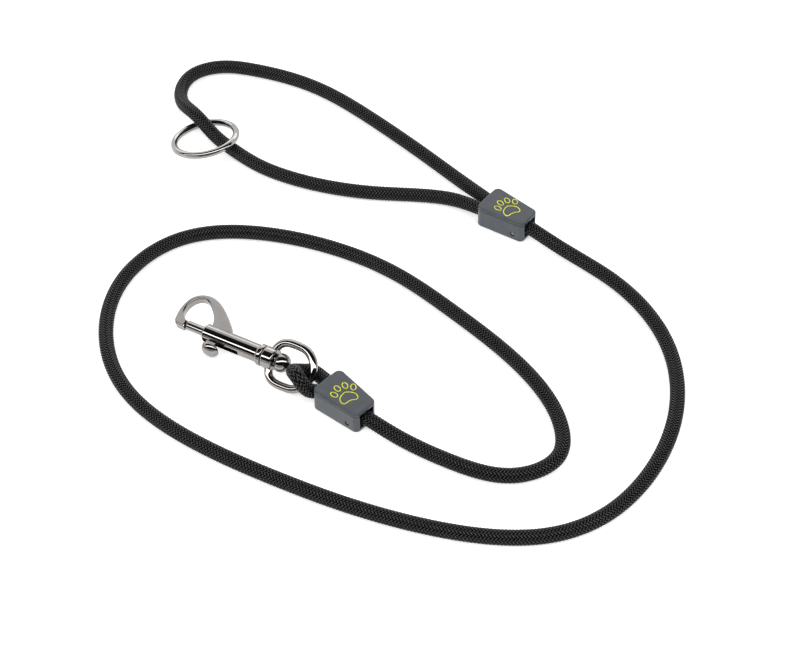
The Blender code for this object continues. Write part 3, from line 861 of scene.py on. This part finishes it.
def rope_material():
    """Black filament yarn: each strand is a bundle of fine glossy fibres, with painted shade that
    darkens its colour from the strand tops down into the valleys between strands.
    """
    mat, shader, add, link = empty_material("rope_yarn")
    around = add("ShaderNodeAttribute", attribute_name="braid_around").outputs["Fac"]
    along = add("ShaderNodeAttribute", attribute_name="braid_along").outputs["Fac"]
    rise = add("ShaderNodeAttribute", attribute_name="braid_rise").outputs["Fac"]
    # Painted shade: the base colour goes from near black in the valleys between strands to lighter
    # on the strand tops.
    ramp = add("ShaderNodeValToRGB", {"Fac": rise})
    ramp.color_ramp.elements[0].position = 0.45
    ramp.color_ramp.elements[0].color = (0.0008, 0.0008, 0.0008, 1)
    ramp.color_ramp.elements[1].position = 1.0
    ramp.color_ramp.elements[1].color = (0.030, 0.030, 0.0305, 1)
    place = add("ShaderNodeCombineXYZ", {"X": around, "Y": along, "Z": 0.0}).outputs["Vector"]
    patchy = add("ShaderNodeTexNoise", {"Vector": place, "Scale": 1.3, "Detail": 3.0})
    spread = add("ShaderNodeMapRange", {"Value": patchy.outputs["Fac"], "From Min": 0.3,
                                        "From Max": 0.7, "To Min": 0.6, "To Max": 1.5})
    tone = add("ShaderNodeMix", {"Factor": 1.0}, data_type="RGBA", blend_type="MULTIPLY")
    link(ramp.outputs["Color"], tone.inputs[MIX_FIRST])
    link(spread.outputs["Result"], tone.inputs[MIX_SECOND])
    link(tone.outputs[MIX_RESULT], shader.inputs["Base Color"])
    fibre = add("ShaderNodeTexNoise", {"Vector": place, "Scale": 14.0, "Detail": 2.0})
    rough = add("ShaderNodeMapRange", {"Value": fibre.outputs["Fac"], "From Min": 0.3,
                                       "From Max": 0.7, "To Min": 0.30, "To Max": 0.52})
    link(rough.outputs["Result"], shader.inputs["Roughness"])
    bump = add("ShaderNodeBump", {"Height": fibre.outputs["Fac"], "Strength": 0.3,
                                  "Distance": 0.08 * MM})
    link(bump.outputs["Normal"], shader.inputs["Normal"])
    shine = add("ShaderNodeMapRange", {"Value": rise, "From Min": 0.55, "From Max": 1.0,
                                       "To Min": 0.0, "To Max": 0.9})
    link(shine.outputs["Result"], shader.inputs["Specular IOR Level"])
    return mat


def plastic_material():
    """Dark grey moulded plastic with a fine satin skin."""
    mat, shader, add, link = empty_material("clamp_moulding")
    where = add("ShaderNodeTexCoord").outputs["Object"]
    cloud = add("ShaderNodeTexNoise", {"Vector": where, "Scale": 140.0, "Detail": 4.0})
    tone = add("ShaderNodeValToRGB", {"Fac": cloud.outputs["Fac"]})
    tone.color_ramp.elements[0].position = 0.3
    tone.color_ramp.elements[0].color = (0.058, 0.066, 0.076, 1)
    tone.color_ramp.elements[1].position = 0.7
    tone.color_ramp.elements[1].color = (0.068, 0.077, 0.088, 1)
    link(tone.outputs["Color"], shader.inputs["Base Color"])
    skin = add("ShaderNodeTexNoise", {"Vector": where, "Scale": 5200.0, "Detail": 2.0})
    rough = add("ShaderNodeMapRange", {"Value": cloud.outputs["Fac"], "From Min": 0.3,
                                       "From Max": 0.7, "To Min": 0.10, "To Max": 0.16})
    link(rough.outputs["Result"], shader.inputs["Roughness"])
    bump = add("ShaderNodeBump", {"Height": skin.outputs["Fac"], "Strength": 0.12,
                                  "Distance": 0.03 * MM})
    link(bump.outputs["Normal"], shader.inputs["Normal"])
    shader.inputs["Specular IOR Level"].default_value = 0.5
    return mat


def ink_material():
    """Bright yellow print."""
    mat, shader, add, link = empty_material("emblem_ink")
    where = add("ShaderNodeTexCoord").outputs["Object"]
    grain = add("ShaderNodeTexNoise", {"Vector": where, "Scale": 2500.0, "Detail": 2.0})
    tone = add("ShaderNodeValToRGB", {"Fac": grain.outputs["Fac"]})
    tone.color_ramp.elements[0].color = (0.80, 0.82, 0.01, 1)
    tone.color_ramp.elements[1].color = (0.92, 0.93, 0.03, 1)
    link(tone.outputs["Color"], shader.inputs["Base Color"])
    shader.inputs["Roughness"].default_value = 0.45
    return mat


def metal_material(name, colour, low, high):
    """Polished plating: slight cloudiness and fine handling scratches."""
    mat, shader, add, link = empty_material(name)
    where = add("ShaderNodeTexCoord").outputs["Object"]
    cloud = add("ShaderNodeTexNoise", {"Vector": where, "Scale": 90.0, "Detail": 5.0})
    tone = add("ShaderNodeValToRGB", {"Fac": cloud.outputs["Fac"]})
    tone.color_ramp.elements[0].position = 0.3
    tone.color_ramp.elements[0].color = (*[c * 0.86 for c in colour], 1)
    tone.color_ramp.elements[1].position = 0.7
    tone.color_ramp.elements[1].color = (*[min(1.0, c * 1.1) for c in colour], 1)
    link(tone.outputs["Color"], shader.inputs["Base Color"])
    stretch = add("ShaderNodeMapping", {"Vector": where, "Scale": (1.0, 0.08, 1.0)})
    scratch = add("ShaderNodeTexNoise", {"Vector": stretch.outputs["Vector"], "Scale": 2400.0,
                                         "Detail": 3.0})
    mixed = add("ShaderNodeMath", {0: cloud.outputs["Fac"], 1: scratch.outputs["Fac"]},
                operation="MULTIPLY")
    rough = add("ShaderNodeMapRange", {"Value": mixed.outputs["Value"], "From Min": 0.12,
                                       "From Max": 0.4, "To Min": low, "To Max": high})
    link(rough.outputs["Result"], shader.inputs["Roughness"])
    wave = add("ShaderNodeTexNoise", {"Vector": where, "Scale": 320.0, "Detail": 2.0})
    bump = add("ShaderNodeBump", {"Height": wave.outputs["Fac"], "Strength": 0.10,
                                  "Distance": 0.10 * MM})
    link(bump.outputs["Normal"], shader.inputs["Normal"])
    shader.inputs["Metallic"].default_value = 1.0
    return mat


# ---------------------------------------------------------------- stage


def build_camera():
    """The camera at the photograph's angle."""
    data = bpy.data.cameras.new("camera")
    data.lens = CAMERA_LENS
    data.sensor_width = CAMERA_SENSOR
    data.sensor_fit = "HORIZONTAL"
    data.clip_start = 0.01
    tilt = math.radians(CAMERA_ELEVATION)
    away = Vector((0, -math.cos(tilt), math.sin(tilt)))
    camera = bpy.data.objects.new("camera", data)
    camera.location = CAMERA_TARGET + away * CAMERA_DISTANCE
    camera.rotation_euler = (math.radians(90 - CAMERA_ELEVATION), 0, 0)
    bpy.context.scene.collection.objects.link(camera)
    bpy.context.scene.camera = camera


def area_light(name, place, aim, size, power):
    """A soft rectangular light aimed at a point."""
    data = bpy.data.lights.new(name, "AREA")
    data.shape = "RECTANGLE"
    data.size, data.size_y = size
    data.energy = power
    light = bpy.data.objects.new(name, data)
    light.location = place
    light.rotation_euler = (Vector(aim) - Vector(place)).to_track_quat("-Z", "Y").to_euler()
    bpy.context.scene.collection.objects.link(light)


def build_surroundings():
    """A tunnel of light and dark panels, by the angle from the rear horizon over the zenith."""
    world = bpy.data.worlds.new("studio")
    world.use_nodes = True
    tree = world.node_tree
    where = tree.nodes.new("ShaderNodeTexCoord")
    parts = tree.nodes.new("ShaderNodeSeparateXYZ")
    tree.links.new(where.outputs["Generated"], parts.inputs["Vector"])
    angle = tree.nodes.new("ShaderNodeMath")
    angle.operation = "ARCTAN2"
    tree.links.new(parts.outputs["Z"], angle.inputs[0])
    tree.links.new(parts.outputs["Y"], angle.inputs[1])
    share = tree.nodes.new("ShaderNodeMath")
    share.operation = "DIVIDE"
    share.inputs[1].default_value = math.pi
    tree.links.new(angle.outputs["Value"], share.inputs[0])
    ramp = tree.nodes.new("ShaderNodeValToRGB")
    stops = ramp.color_ramp.elements
    while len(stops) > 1:
        stops.remove(stops[-1])
    stops[0].position = 0.0
    stops[0].color = (PANELS[0][1],) * 3 + (1,)
    for degrees, level in PANELS[1:]:
        stop = stops.new(degrees / 180)
        stop.color = (level, level, level, 1)
    tree.links.new(share.outputs["Value"], ramp.inputs["Fac"])
    back = tree.nodes["Background"]
    tree.links.new(ramp.outputs["Color"], back.inputs["Color"])
    back.inputs["Strength"].default_value = 1.0
    bpy.context.scene.world = world


def build_stage():
    """A softly glowing pale floor, a light behind it and the panels around."""
    bm = bmesh.new()
    bmesh.ops.create_grid(bm, x_segments=1, y_segments=1, size=FLOOR_HALF)
    floor = new_object("floor", bm)
    floor.location.z = -FLOOR_DROP
    mat, shader = empty_material("floor_paper")[:2]
    shader.inputs["Base Color"].default_value = (0.80, 0.80, 0.80, 1)
    shader.inputs["Emission Color"].default_value = (1.0, 1.0, 1.0, 1)
    shader.inputs["Emission Strength"].default_value = FLOOR_GLOW
    shader.inputs["Roughness"].default_value = 0.9
    shader.inputs["Specular IOR Level"].default_value = 0.1
    floor.data.materials.append(mat)
    build_surroundings()
    rear = CAMERA_TARGET + REAR_LIGHT_PLACE
    area_light("rear", rear, CAMERA_TARGET, REAR_LIGHT_SIZE, REAR_LIGHT_POWER)
    bpy.context.scene.view_settings.view_transform = "Standard"


def main():
    """Dress every piece and set the stage."""
    build_camera()
    build_rope()
    plastic = plastic_material()
    ink = ink_material()
    pin = metal_material("pin_metal", (0.30, 0.30, 0.31), 0.2, 0.35)
    ring = metal_material("ring_plating", (0.34, 0.33, 0.32), 0.04, 0.10)
    snap = metal_material("snap_plating", (0.31, 0.295, 0.285), 0.04, 0.11)
    spring = metal_material("spring_wire", (0.45, 0.45, 0.46), 0.15, 0.3)
    for prefix, clamp in (("handle", HANDLE_CLAMP), ("snap", SNAP_CLAMP)):
        build_clamp(prefix, clamp, plastic, pin)
        build_emblem(prefix, clamp, ink)
        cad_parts[prefix + "_clamp_crimp"].data.materials.clear()
        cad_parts[prefix + "_clamp_crimp"].data.materials.append(pin)
    build_ring(ring)
    snap_place = snap_matrix(SNAP_ROLL)
    eye_place = snap_matrix(EYE_ROLL)
    build_snap_body(snap, snap_place)
    build_plunger(snap, snap_place)
    build_stud(snap, snap_place)
    build_spring(spring, snap_place)
    build_rivet(snap, snap_place)
    build_eye(snap, eye_place)
    build_stage()


main()
